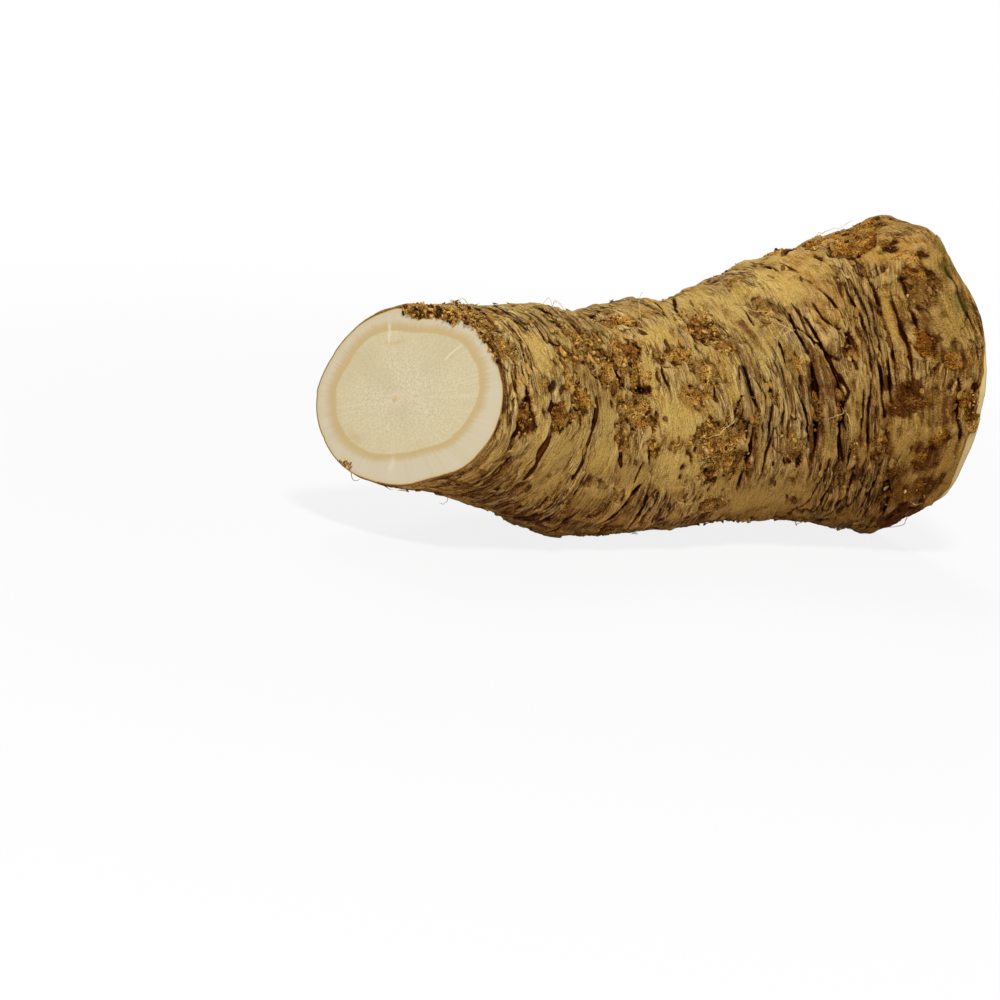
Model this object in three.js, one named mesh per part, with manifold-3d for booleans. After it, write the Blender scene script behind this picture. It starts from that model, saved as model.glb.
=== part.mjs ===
// A cut piece of horseradish root lying on its side, in millimetres, +Z up.
//
// The piece is one solid that grew as one: a gnarled, tapering root that swells to its crown at +X. Its small end, at -X,
// was sliced off at a slant, and its crown was trimmed where the leaves grew. It rests on its belly, whose undermost
// bumps are pressed flat, and its small end bends up a little off the surface.
//
// The stock is a LatheGeometry whose rings are carried along a bent centre line and swollen or pinched where the root
// has its humps and hollows. Knife cuts then take off both ends, and the surface that it lies on presses the belly flat.
import * as THREE from "three";
import { mergeVertices } from "three/addons/utils/BufferGeometryUtils.js";
import Module from "manifold-3d";

// The centre line, small end first, with the section's half width across the root and its half height.
const STATIONS = [
  { x: -84, y: -8.0, z: 33.4, across: 18.4, upright: 17.8 },
  { x: -66, y: -5.8, z: 31.2, across: 19.0, upright: 18.6 },
  { x: -50, y: -4.0, z: 29.2, across: 21.0, upright: 20.6 },
  { x: -36, y: -2.4, z: 26.8, across: 23.2, upright: 23.0 },
  { x: -20, y: -0.4, z: 24.3, across: 24.4, upright: 24.2 },
  { x: -4, y: 1.4, z: 25.0, across: 25.6, upright: 24.8 },
  { x: 10, y: 2.6, z: 26.2, across: 26.6, upright: 25.4 },
  { x: 26, y: 3.4, z: 29.4, across: 29.2, upright: 28.8 },
  { x: 42, y: 3.0, z: 31.2, across: 32.2, upright: 31.2 },
  { x: 56, y: 1.4, z: 34.4, across: 34.0, upright: 34.8 },
  { x: 68, y: -0.6, z: 36.6, across: 33.6, upright: 34.4 },
  { x: 84, y: -3.0, z: 37.0, across: 31.0, upright: 31.0 },
];

// Humps and hollows: how far along (x) and how far around (degrees from the top, by way of -Y) each one sits, how
// far it spreads each way, and how far it stands proud of the section.
const SWELLINGS = [
  { x: -68, around: 48, length: 14, spread: 34, rise: 1.8 },
  { x: -72, around: 220, length: 16, spread: 36, rise: 1.2 },
  { x: -72, around: 305, length: 14, spread: 36, rise: -1.4 },
  { x: -64, around: 134, length: 14, spread: 34, rise: -1.6 },
  { x: -30, around: 262, length: 13, spread: 38, rise: 1.8 },
  { x: -22, around: 180, length: 9, spread: 44, rise: 0.9 },
  { x: -14, around: 208, length: 12, spread: 34, rise: 1.0 },
  { x: -8, around: 98, length: 10, spread: 36, rise: 0.7 },
  { x: 8, around: 282, length: 12, spread: 42, rise: -1.6 },
  { x: 16, around: 0, length: 8, spread: 48, rise: -1.2 },
  { x: 22, around: 114, length: 8, spread: 40, rise: -0.7 },
  { x: 34, around: 252, length: 13, spread: 36, rise: 2.0 },
  { x: 36, around: 10, length: 8, spread: 40, rise: 0.9 },
  { x: 46, around: 70, length: 9, spread: 34, rise: 0.7 },
  { x: 52, around: 178, length: 10, spread: 36, rise: 0.7 },
  { x: 56, around: 152, length: 9, spread: 26, rise: 3.0 },
  { x: 58, around: 300, length: 12, spread: 30, rise: -1.5 },
];

// Each knife cut: a point on its plane, and the way the waste lies.
const CUTS = {
  smallEnd: { at: [-63, -5.5, 31.4], waste: [-0.815, -0.542, 0.205] },
  crown: { at: [60, -2, 37], waste: [1, 0.1, -0.04] },
  crownTop: { at: [61.6, -22, 62], waste: [0.923, -0.112, 0.418] },
  crownUnder: { at: [62.6, -22, 14], waste: [0.663, -0.318, -0.707] },
};
const KNIFE = 200; // the waste blocks are longer than the root is in any direction

const ROUND_STEPS = 48; // facets around a section
const LENGTH_STEPS = 60; // rings along the bark

const centreLine = new THREE.CatmullRomCurve3(STATIONS.map((s) => new THREE.Vector3(s.x, s.y, s.z)));
const girth = new THREE.SplineCurve(STATIONS.map((s) => new THREE.Vector2(s.across, s.upright)));

// The outline that the lathe turns: its x is the share of the section's radius, and its y the share of the centre line.
function stockProfile() {
  const points = [new THREE.Vector2(0, 0)];
  for (let i = 0; i <= LENGTH_STEPS; i++) points.push(new THREE.Vector2(1, i / LENGTH_STEPS));
  points.push(new THREE.Vector2(0, 1));
  return points;
}

// How far the bark stands proud at a place along the centre line and around the section, as a sum of smooth bumps.
function proud(x, around) {
  let sum = 0;
  for (const s of SWELLINGS) {
    const turned = THREE.MathUtils.euclideanModulo(around - s.around + 180, 360) - 180;
    sum += s.rise * Math.exp(-(((x - s.x) / s.length) ** 2) - (turned / s.spread) ** 2);
  }
  return sum;
}

// Carries a lathe point (across, along, upright) to its place around the centre line.
function place(point) {
  const along = THREE.MathUtils.clamp(point.y, 0, 1);
  const centre = centreLine.getPoint(along);
  const forward = centreLine.getTangent(along);
  const side = forward.clone().cross(new THREE.Vector3(0, 0, 1)).normalize();
  const up = side.clone().cross(forward);
  const half = girth.getPoint(along);
  const swell = proud(centre.x, THREE.MathUtils.radToDeg(Math.atan2(point.x, point.z)));
  return centre
    .addScaledVector(side, (half.x + swell) * point.x)
    .addScaledVector(up, (half.y + swell) * point.z);
}

function rootStock() {
  const lathe = new THREE.LatheGeometry(stockProfile(), ROUND_STEPS);
  const position = lathe.getAttribute("position");
  const point = new THREE.Vector3();
  for (let i = 0; i < position.count; i++) {
    point.fromBufferAttribute(position, i);
    position.setXYZ(i, ...place(point).toArray());
  }
  return lathe;
}

// The block of waste beyond a knife cut.
function wasteBlock(cut) {
  const block = new THREE.BoxGeometry(KNIFE, KNIFE, KNIFE);
  block.translate(0, 0, KNIFE / 2);
  const turn = new THREE.Quaternion().setFromUnitVectors(
    new THREE.Vector3(0, 0, 1),
    new THREE.Vector3(...cut.waste).normalize(),
  );
  block.applyQuaternion(turn);
  block.translate(...cut.at);
  return block;
}

const wasm = await Module();
wasm.setup();

function solidFrom(geometry) {
  const bare = geometry.clone();
  bare.deleteAttribute("normal");
  bare.deleteAttribute("uv");
  const merged = mergeVertices(bare, 1e-4);
  return new wasm.Manifold(
    new wasm.Mesh({
      numProp: 3,
      vertProperties: new Float32Array(merged.getAttribute("position").array),
      triVerts: new Uint32Array(merged.index.array),
    }),
  );
}

function geometryFrom(solid) {
  const mesh = solid.getMesh();
  const geometry = new THREE.BufferGeometry();
  geometry.setAttribute("position", new THREE.BufferAttribute(new Float32Array(mesh.vertProperties), 3));
  geometry.setIndex(new THREE.BufferAttribute(new Uint32Array(mesh.triVerts), 1));
  geometry.computeVertexNormals();
  return geometry;
}

let root = solidFrom(rootStock());
for (const cut of Object.values(CUTS)) {
  root = root.subtract(solidFrom(wasteBlock(cut)));
}
root = root.subtract(solidFrom(wasteBlock({ at: [0, 0, 0], waste: [0, 0, -1] })));

// Sets the root down with the middle of its box over the origin.
function centred(geometry) {
  geometry.computeBoundingBox();
  const middle = geometry.boundingBox.getCenter(new THREE.Vector3());
  return geometry.translate(-middle.x, -middle.y, 0);
}

const bark = new THREE.MeshStandardMaterial({ color: 0xa8864f, roughness: 0.9, metalness: 0 });
const horseradish = new THREE.Mesh(centred(geometryFrom(root)), bark);
horseradish.name = "horseradish_root";

const part = new THREE.Group();
part.name = "horseradish";
part.add(horseradish);

export default part;
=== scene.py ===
"""The looks of a cut piece of horseradish root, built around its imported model.

The root is one closed skin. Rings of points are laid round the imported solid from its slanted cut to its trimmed
crown, and the bark's folds, furrows and peeled edges are raised on them in millimetres. Rings of points over the two
cut faces close the skin. Corky scabs, crumbs, flakes of bark and fine rootlets are pieces of their own that grow from
it.
"""

import math

import bpy
import numpy as np
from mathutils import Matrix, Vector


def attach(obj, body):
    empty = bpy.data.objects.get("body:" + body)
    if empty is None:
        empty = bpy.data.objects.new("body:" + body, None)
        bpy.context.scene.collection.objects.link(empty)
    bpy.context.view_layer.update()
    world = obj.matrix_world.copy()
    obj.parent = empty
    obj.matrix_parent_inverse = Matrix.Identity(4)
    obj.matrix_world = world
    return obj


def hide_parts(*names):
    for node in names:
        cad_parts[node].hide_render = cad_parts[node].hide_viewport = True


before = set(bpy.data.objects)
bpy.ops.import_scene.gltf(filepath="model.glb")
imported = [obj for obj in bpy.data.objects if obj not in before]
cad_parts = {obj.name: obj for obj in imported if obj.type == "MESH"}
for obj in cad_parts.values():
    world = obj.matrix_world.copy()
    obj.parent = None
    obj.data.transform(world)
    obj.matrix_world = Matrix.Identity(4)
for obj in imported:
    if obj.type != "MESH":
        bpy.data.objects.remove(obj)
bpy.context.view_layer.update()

MM = 0.001  # everything below is worked out in millimetres, and made in metres

COLUMNS = 240  # points in each ring
CROWDED, CROWDED_AT = 0.26, math.radians(65)  # how much closer the points are on the side that shows most
BARK_RINGS = 396  # steps along the bark, from one cut to the other
FACE_SHARES = np.array([0.14, 0.32, 0.52, 0.70, 0.82, 0.91, 0.96, 0.985])  # the rings on a cut face, middle to rim
SLANT_RUN = 52.0  # how far along the bark the rings keep turning out of the slant of the small end
CROWN_RUN = 16.0  # the same at the crown
FACET_BLUR = 1.5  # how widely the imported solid's facets are smoothed away


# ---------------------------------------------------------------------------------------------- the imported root


def unit(vectors):
    return vectors / np.linalg.norm(vectors, axis=-1, keepdims=True)


def smoothstep(low, high, value):
    share = np.clip((value - low) / (high - low), 0.0, 1.0)
    return share * share * (3.0 - 2.0 * share)


def packed_triangles():
    """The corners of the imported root's triangles, shaped (triangle, corner, axis)."""
    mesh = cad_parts["horseradish_root"].data
    places = np.empty(len(mesh.vertices) * 3, np.float32)
    mesh.vertices.foreach_get("co", places)
    mesh.calc_loop_triangles()
    corners = np.empty(len(mesh.loop_triangles) * 3, np.int32)
    mesh.loop_triangles.foreach_get("vertices", corners)
    return places.reshape(-1, 3)[corners].reshape(-1, 3, 3).astype(float) / MM


def knife_cut(triangles, way):
    """The middle and the outward normal of the widest flat cut whose face looks along X the given way (-1 or 1).
    The cut is the set of triangles that share one normal and have the most area together."""
    crossed = np.cross(triangles[:, 1] - triangles[:, 0], triangles[:, 2] - triangles[:, 0])
    twice_area = np.linalg.norm(crossed, axis=1)
    normals = crossed / np.maximum(twice_area, 1e-12)[:, None]
    facing = normals[:, 0] * way > 0.6
    normals, twice_area, faces = normals[facing], twice_area[facing], triangles[facing]
    alike = (normals @ normals.T > 0.99995) * twice_area
    cut = alike[np.argmax(alike.sum(1))]
    middle = (faces.mean(1) * cut[:, None]).sum(0) / cut.sum()
    return middle, unit((normals * cut[:, None]).sum(0))


def section_radii(triangles, middle, along, up, side, angles):
    """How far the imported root's surface is from a ring's middle, at each angle in the ring's plane. Each triangle
    that the plane crosses leaves a segment there, and a ray meets the segment p, q where the ray's and the segment's
    cross products balance."""
    heights = (triangles - middle) @ along
    crossing = (heights.min(1) < 0) & (heights.max(1) > 0)
    corners, heights = triangles[crossing], heights[crossing]
    following, next_heights = np.roll(corners, -1, 1), np.roll(heights, -1, 1)
    cut_edges = heights * next_heights < 0
    share = np.where(cut_edges, heights / np.where(cut_edges, heights - next_heights, 1.0), 0.0)
    ends = (corners + (following - corners) * share[..., None])[cut_edges].reshape(-1, 2, 3) - middle
    p = np.stack([ends[:, 0] @ up, ends[:, 0] @ side], -1)
    run = np.stack([ends[:, 1] @ up, ends[:, 1] @ side], -1) - p
    ray = np.stack([np.cos(angles), np.sin(angles)], -1)[:, None]
    balance = ray[..., 0] * run[:, 1] - ray[..., 1] * run[:, 0]
    balance = np.where(np.abs(balance) < 1e-9, 1e-9, balance)
    distance = (p[:, 0] * run[:, 1] - p[:, 1] * run[:, 0]) / balance
    on_run = (p[:, 0] * ray[..., 1] - p[:, 1] * ray[..., 0]) / balance
    met = (distance > 0) & (on_run > -1e-4) & (on_run < 1 + 1e-4)
    return np.where(met, distance, np.inf).min(1)


def blur_kernel(places, spread, turn=np.inf):
    """A matrix that blurs values at those places by a bell of the given spread. Places wrap after a turn. Each
    column is weighed by the room around its place, and each row sums to one."""
    apart = np.abs(np.subtract.outer(places, places))
    apart = np.minimum(apart, turn - apart)
    room = np.gradient(places) if turn == np.inf else (np.roll(places, -1) - np.roll(places, 1)) % turn
    weights = np.exp(-0.5 * (apart / spread) ** 2) * room
    return weights / weights.sum(1, keepdims=True)


def blurred(field, spread):
    """A field on the bark's grid, blurred by a bell of that many millimetres both ways."""
    rows = blur_kernel(run, spread)
    columns = blur_kernel(angles, spread / usual_radius, 2 * np.pi)
    return rows @ field @ columns.T


triangles = packed_triangles()
small_middle, small_facing = knife_cut(triangles, -1)
crown_middle, crown_facing = knife_cut(triangles, 1)

# The centre line: fifth-degree curves for y and z over x, through both cuts' middles and the middles between them.
stations = np.linspace(small_middle[0] + 16, crown_middle[0] - 6, 30)
near = [triangles.reshape(-1, 3)[np.abs(triangles.reshape(-1, 3)[:, 0] - x) < 4] for x in stations]
middles = np.array([small_middle, *[(n.min(0) + n.max(0)) / 2 for n in near], crown_middle])
middles[1:-1, 0] = stations
pull = np.array([8.0, *np.ones(len(stations)), 8.0])  # the cuts' middles draw the curves most
bend = [np.polyfit(middles[:, 0], middles[:, axis], 5, w=pull) for axis in (1, 2)]
ring_x = np.linspace(small_middle[0], crown_middle[0], BARK_RINGS + 1)
centres = np.stack([ring_x, np.polyval(bend[0], ring_x), np.polyval(bend[1], ring_x)], -1)
centres += np.outer(1 - smoothstep(0, 12, ring_x - ring_x[0]), small_middle - centres[0])
centres += np.outer(smoothstep(-8, 0, ring_x - ring_x[-1]), crown_middle - centres[-1])
forward = unit(np.gradient(centres, axis=0))
run = np.concatenate([[0.0], np.cumsum(np.linalg.norm(np.diff(centres, axis=0), axis=1))])  # mm from the small end
length = run[-1]

# Each ring's plane turns from the slanted cut's plane to square across the root, and to the crown cut's plane.
lean_small = (1 - smoothstep(0, SLANT_RUN, run))[:, None]
lean_crown = smoothstep(length - CROWN_RUN, length, run)[:, None]
facing = unit(forward * (1 - lean_small) * (1 - lean_crown) - small_facing * lean_small + crown_facing * lean_crown)
ups = unit(np.array([0, 0, 1.0]) - facing * facing[:, 2:])
sides = np.cross(facing, ups)

# A ring's angles start at the top and run down the -Y side. They crowd together where a cosine swells their number.
sweep = np.linspace(0, 2 * np.pi, 4001)
counted = sweep + CROWDED * (np.sin(sweep - CROWDED_AT) + math.sin(CROWDED_AT))
angles = np.interp(np.arange(COLUMNS) * 2 * np.pi / COLUMNS, counted, sweep)
rays = np.cos(angles)[:, None] * ups[:, None] + np.sin(angles)[:, None] * sides[:, None]
inset = np.clip(ring_x, ring_x[0] + 0.02, ring_x[-1] - 0.02) - ring_x
radii = np.array([
    section_radii(triangles, centres[i] + facing[i] * inset[i], facing[i], ups[i], sides[i], angles)
    for i in range(BARK_RINGS + 1)
])
usual_radius = radii.mean()
radii = blurred(radii, FACET_BLUR)
smooth_skin = centres[:, None] + rays * radii[..., None]


# ---------------------------------------------------------------------------------------------- noise on arrays


def hashed(cells, seed):
    """A pseudo-random number from 0 to 1 for each whole-number cell: its three numbers are mixed with the seed by
    odd multipliers, shifts and exclusive ors."""
    cells = cells.astype(np.int64).astype(np.uint64)
    mixed = cells[..., 0] * np.uint64(0x9E3779B1) ^ cells[..., 1] * np.uint64(0x85EBCA77)
    mixed = mixed ^ cells[..., 2] * np.uint64(0xC2B2AE3D) ^ np.uint64(seed * 0x27D4EB2F + 0x165667B1)
    for shift in (15, 13):
        mixed = ((mixed ^ (mixed >> np.uint64(shift))) * np.uint64(0x2C1B3C6D)) & np.uint64(0xFFFFFFFF)
    return ((mixed ^ (mixed >> np.uint64(16))) & np.uint64(0xFFFFFF)) / float(0xFFFFFF)


NOISE_GAIN = 1.7  # brings the noise's range to about -1 to 1


def noise(points, seed):
    """Gradient noise, about -1 to 1: each corner of a point's unit cell has a random slope, and the eight slopes'
    values there are blended by a quintic curve along each axis."""
    base = np.floor(points)
    inside = points - base
    blend = inside**3 * (inside * (inside * 6 - 15) + 10)
    total = 0.0
    for corner in np.ndindex(2, 2, 2):
        offset = np.array(corner, float)
        turn = hashed(base + offset, seed) * 2 * np.pi
        rise = hashed(base + offset, seed + 101) * 2 - 1
        flat = np.sqrt(1 - rise**2)
        away = inside - offset
        value = (np.cos(turn) * away[..., 0] + np.sin(turn) * away[..., 1]) * flat + rise * away[..., 2]
        weight = np.prod(np.where(offset > 0, blend, 1 - blend), -1)
        total = total + value * weight
    return total * NOISE_GAIN


# ---------------------------------------------------------------------------------------------- the bark's relief

# Places on the bark are (mm from the small end, degrees around from the top by way of the -Y side).
# Furrows, each as its half width, its depth, and the places that it runs through.
FURROWS = [
    (0.35, 0.9, (9, 32), (8.5, 45), (6.6, 58), (5.6, 76)), (0.35, 0.9, (9.8, 38), (9.3, 50), (8.8, 61)),
    (0.4, 1, (6.6, 62), (5.6, 79)), (0.25, 0.6, (4, 58), (3, 72), (3.6, 82)), (0.35, 0.7, (6.2, 16), (5.4, 26)),
    (0.3, 0.6, (2.5, 20), (3.4, 34), (2.2, 46)), (0.3, 0.7, (7.4, 4), (8.6, 18), (8, 28)),
    (0.4, 0.9, (6.4, 106), (6.6, 114), (7.2, 125)), (0.4, 0.9, (13.2, 27), (12.5, 38)),
    (0.6, 1.2, (15.8, 32), (15.3, 41), (14.3, 47)), (0.45, 1, (19.6, 34), (19.1, 47)),
    (1.3, 1.5, (11.6, 75), (12.2, 84), (11.9, 98), (12.9, 116)), (0.35, 0.7, (17.6, 69), (20, 75), (25, 76)),
    (0.35, 0.7, (16.8, 62), (19.4, 58), (23.5, 57)), (0.3, 0.6, (19, 46), (22, 49), (26, 50)),
    (1.45, 1.4, (30.2, 65), (29.5, 78), (27.7, 92), (27.8, 108)), (0.3, 0.7, (26.8, 69), (27, 80)),
    (0.8, 1.3, (31.6, 103), (31.5, 116), (30.8, 128), (31.8, 142)), (0.5, 0.8, (29.5, 53), (33, 57)),
    (0.6, 0.8, (35.4, 38), (38.4, 46), (40.2, 50)), (0.6, 1.1, (40.2, 49), (41.6, 58)),
    (0.85, 1.4, (40.2, 88), (41.3, 93), (42.4, 99)), (0.65, 1.2, (48.4, 107), (46.2, 120), (42.8, 139)),
    (0.42, 1.1, (50.4, 107), (50.8, 125), (51.2, 143)), (0.25, 0.5, (48.6, 97), (48.1, 88), (48.4, 78)),
    (0.25, 0.5, (46.9, 94), (46.5, 108)), (0.25, 0.6, (52.4, 46), (54, 49), (58, 50), (62.5, 49)),
    (0.28, 0.6, (53.2, 43), (53.3, 52), (54.2, 59)), (0.35, 0.7, (54.9, 118), (55.1, 137)),
    (0.3, 0.6, (52.8, 112), (52.6, 138)), (0.3, 0.6, (57.5, 122), (56.8, 140)), (0.3, 0.6, (24.4, 120), (25.2, 134)),
    (0.35, 0.7, (20.8, 132), (23, 142)), (0.4, 0.8, (15.6, 134), (18.6, 148)), (0.35, 0.7, (36.8, 126), (35.8, 146)),
    (0.8, 2.4, (67.2, 15), (70, 5), (73.4, -6), (76, -20)), (0.45, 1, (63.2, 16), (65, 6), (68, -8)),
    (0.3, 0.7, (60.6, 84), (61.2, 94), (63, 104)), (0.4, 0.9, (65.9, 61), (65.3, 69)),
    (0.6, 1.8, (75.5, 56), (74.9, 68), (75.3, 78), (73.7, 92), (72.3, 107), (71.8, 118)),
    (0.35, 0.9, (74.4, 54), (73, 62)), (0.45, 1.3, (81, 65), (80, 74), (78.2, 86), (77.6, 94)),
    (0.45, 0.9, (79.4, 87), (77.6, 99), (76.6, 114)), (0.3, 0.7, (68.9, 83), (69.5, 75), (71.4, 69.5), (73.9, 68.5)),
    (0.35, 0.8, (84.7, 61), (84.4, 77)), (0.35, 0.8, (86.4, 49), (86, 61)), (0.35, 0.8, (82.7, 75), (81.6, 88)),
    (0.3, 0.7, (76.9, 62), (78.2, 72), (77, 82)), (0.5, 1.1, (87, 72), (88.4, 84), (88.9, 97)),
    (0.3, 0.8, (88.8, 97), (86.2, 105), (82.9, 106.5), (81.7, 100)), (0.35, 0.8, (89.4, 56), (89, 68)),
    (0.45, 1.2, (92.6, 37), (91.8, 48), (92.7, 62)), (0.3, 0.7, (94.4, 33), (95, 42)),
    (0.6, 1.8, (95.6, 42), (95.6, 54), (96.6, 62), (100.4, 65.5)),
    (0.9, 1.8, (92.8, 62), (92.2, 78), (91.2, 92), (90.4, 104)),
    (1, 1.8, (97.4, 67), (98.4, 78), (97.8, 88), (99.4, 95)), (0.38, 1.2, (97, 93), (97.3, 108)),
    (0.28, 1.2, (101, 22), (101.6, 31), (103.2, 38), (103.9, 46), (103.5, 53)),
    (0.26, 1.1, (99.2, 36), (99.4, 45), (100.8, 51), (103.2, 54)), (0.4, 1.1, (103.2, 55), (104, 67)),
    (0.3, 1, (106.8, 29), (107, 45), (107.7, 60), (106.5, 76)), (0.24, 0.7, (108.2, 30), (108.6, 50), (108.2, 69)),
    (0.24, 0.7, (109.4, 33), (109.8, 48), (109.6, 66)), (0.26, 0.9, (110.5, 29), (111, 46), (111.3, 66), (111.6, 85)),
    (0.4, 1.3, (109, 69), (108.4, 84), (109.6, 94)), (0.45, 1.2, (106.2, 75), (105.3, 90), (105.3, 107)),
    (0.3, 0.8, (104.3, 78), (103.8, 96)), (0.28, 0.8, (110.3, 68), (110.4, 88)), (0.28, 0.7, (107.4, 80), (107, 100)),
    (0.32, 1, (112.8, 41), (113.2, 60), (113.6, 77)), (0.32, 1, (114.8, 35), (114.6, 50), (115.1, 71)),
    (0.35, 0.9, (119.4, 76), (120.2, 92), (121.8, 101)), (0.35, 1, (121.2, 33), (121.6, 46), (122.8, 60), (123, 75)),
    (0.5, 1.4, (110.4, 21), (113.5, 16), (115.4, 9)), (0.8, 1.5, (106, -10), (103.6, -5), (100.4, -1)),
    (0.35, 0.8, (94.3, 107), (92.4, 124), (90.4, 142)), (0.35, 0.8, (97.8, 109), (96.4, 124), (94.4, 142)),
    (0.35, 0.8, (103.2, 108), (101.6, 124), (99.2, 143)), (0.35, 0.8, (106.4, 112), (104.6, 126), (102, 142)),
    (0.35, 0.8, (109.4, 108), (108.4, 122), (106.6, 140)), (0.3, 0.7, (111, 112), (113.4, 126), (114.4, 138)),
    (0.35, 0.7, (101, 98), (100.2, 112)), (0.3, 0.7, (87.6, 104), (84.6, 111)), (0.28, 0.6, (83.4, 27), (83.2, 38)),
    (0.3, 0.7, (86.8, 27), (87.6, 36), (90, 41)), (0.3, 0.6, (98.6, 4), (100.4, 16)),
    (0.3, 0.6, (96.4, 0), (97.2, 10)), (0.35, 0.8, (30.5, 4), (33.5, 18), (34.4, 30)),
    (0.35, 0.8, (23, 6), (26, 20), (29, 30)), (0.3, 0.7, (14, 6), (17, 16), (19, 24)),
    (0.3, 0.7, (19, 2), (22, 12), (25, 26)), (0.75, 1.7, (92.5, 46), (96.5, 61), (100.5, 79), (97, 91), (98.5, 108)),
]
# Where the skin is gathered in tight folds: middle, half length, half spread, strength.
FOLDED = [
    (7, 56, 7, 62, 1), (15, 34, 5, 34, 0.8), (25, 22, 5, 16, 0.6), (12, 122, 8, 20, 0.8), (30, 134, 8, 14, 0.7),
    (31, 132, 3, 12, 0.4), (52, 128, 5, 18, 0.7), (64, 40, 3, 14, 0.5), (83, 78, 8, 26, 0.9), (94, 48, 4, 14, 0.7),
    (97, 122, 9, 18, 0.8), (109, 56, 4.2, 52, 1), (108, 122, 5, 18, 0.9), (76, 78, 4, 26, 0.6), (117, 66, 3, 30, 0.4),
    (78, 8, 6, 14, 0.4), (96, -12, 8, 14, 0.6), (20, -20, 14, 24, 0.6), (54, -20, 12, 24, 0.6), (22, 138, 8, 10, 0.5),
]
# Knobs and hollows: middle, how far each reaches along and around, and how far it stands proud.
KNOBS = [
    (22.6, 67, 2.2, 5, -1.7), (45.5, 58.5, 4.4, 2.2, -1.5), (41, 93, 1.3, 5, -0.6), (70.5, 31, 3.2, 9, -0.9),
    (98.6, 57, 2.6, 8, 1.5), (102, 33, 2.2, 9, 0.9), (97.6, 88, 1.4, 3.4, 1.6), (97.4, 73, 0.9, 2.4, 1.2),
    (72, 76, 2.6, 7, 0.8), (85.2, 95, 3, 9, 0.7), (88.6, 35, 2, 5, 0.7), (71, 42, 3, 4, 0.8), (75, 44, 2.2, 3.6, 0.7),
    (63.5, 8, 4, 16, 1), (78, 10, 5, 20, 0.7), (33.5, 6, 2.6, 30, -1.5), (27.5, 12, 3.2, 20, 0.8),
    (70.5, -6, 2.6, 14, -0.8), (115.5, 62, 2.2, 5, 0.7), (113.8, 60, 1.2, 4, -0.5), (122.4, 88, 1.8, 6, 0.9),
    (112, 8, 4, 8, 1.2), (117.5, 14, 2.4, 8, -0.7), (103, -2, 3, 7, 0.9), (111.5, 124, 2.4, 8, -0.9),
    (83, 72, 1.6, 14, 0.5), (76.8, 68, 1.4, 8, 0.6), (94, 84, 1.2, 10, 0.7), (12.8, 122, 2.4, 7, -0.8),
    (36, 106, 6, 3, -0.4), (67, 126, 3, 5, 0.6), (121.5, 16, 5, 11, 2.1), (124, 48, 5, 14, -1.7),
    (0, -50, 7, 20, 1.3), (44.5, -12, 4.5, 22, -1.9), (86.5, -28, 5, 20, -1.5), (115, -15, 3, 12, -1),
    (63, -16, 3, 14, 0.5), (72, -15, 2, 12, -0.5), (24, 172, 15, 34, -2), (95, 168, 13, 24, -1.6),
    (124, 24, 2.4, 9, 1.2), (95, -20, 1.8, 12, 0.7), (103, -18, 1.5, 10, 0.7), (106, -14, 1.1, 8, -0.6),
    (54, -16, 1.6, 10, 0.4),
]
# Corky patches, where the skin has crumbled away: middle, half length, half spread, strength.
CORKY = [
    (2.6, 50, 2.6, 9, 0.6), (4.5, 20, 5, 16, 0.7), (5.2, 88, 2.6, 10, 0.7), (14.4, 80, 3.4, 7, 0.8),
    (22, 66, 5.6, 14, 0.9), (21, 50, 4.4, 6, 0.8), (31, 36, 8, 9, 0.75), (36, 46, 6, 12, 0.8), (45, 42, 5.4, 15, 1),
    (44, 70, 6, 9, 1), (41, 84, 2.2, 9, 0.6), (48.6, 86.5, 2, 6, 0.8), (56, 87, 3.6, 3.4, 0.5),
    (57.5, 43, 5.5, 4.6, 0.7), (49, 12, 7, 7, 0.8), (66, 93, 6.4, 16, 1), (60.5, 64, 4.4, 7, 0.5),
    (70, 28, 4.6, 13, 1), (64.5, 52, 3.6, 8, 0.6), (72.5, 44, 3, 5, 0.6), (85, 97, 3.2, 8, 0.55),
    (87.6, 31, 3, 6, 0.5), (88, 60, 2.4, 9, 0.5), (97.8, 88, 1.8, 4, 0.7), (98.4, 77, 1.6, 8, 0.6),
    (101.4, 103, 2, 7, 0.6), (100.6, 118, 2.6, 6, 0.5), (112.5, -6, 6, 13, 1), (103, -14, 4, 8, 0.7),
    (112, 10, 4.4, 8, 1), (117, 38, 2.4, 12, 0.6), (115.4, 62, 1.6, 6, 0.8), (113.5, 84, 1.4, 4, 0.7),
    (118, 99, 1.6, 5, 0.6), (122.4, 88, 2, 7, 1), (108.6, 104, 2.4, 6, 0.6), (116, 126, 4, 8, 0.5),
    (67, 126, 3.4, 5, 0.7), (88, 132, 2.2, 3.4, 0.5), (92.6, 139, 2.2, 3.4, 0.5), (5, 137, 2.6, 4, 0.5),
    (44, 116, 1.6, 4, 0.5), (103.6, 62, 1.4, 6, 0.7), (88, 4, 2.2, 4, 0.6), (92.2, 80, 1.5, 14, 0.6),
    (75, 84, 1.2, 16, 0.4), (80, 74, 1.3, 8, 0.5), (111, 88, 2.2, 5, 0.5), (115, 85, 2, 5, 0.5),
    (116.5, 108, 2.4, 6, 0.5), (112, 113, 2.4, 6, 0.5), (118.5, 120, 2.6, 6, 0.5), (109.6, 94, 1.8, 4, 0.5),
    (119.6, 70, 2.4, 6, 0.45),
]
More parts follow.
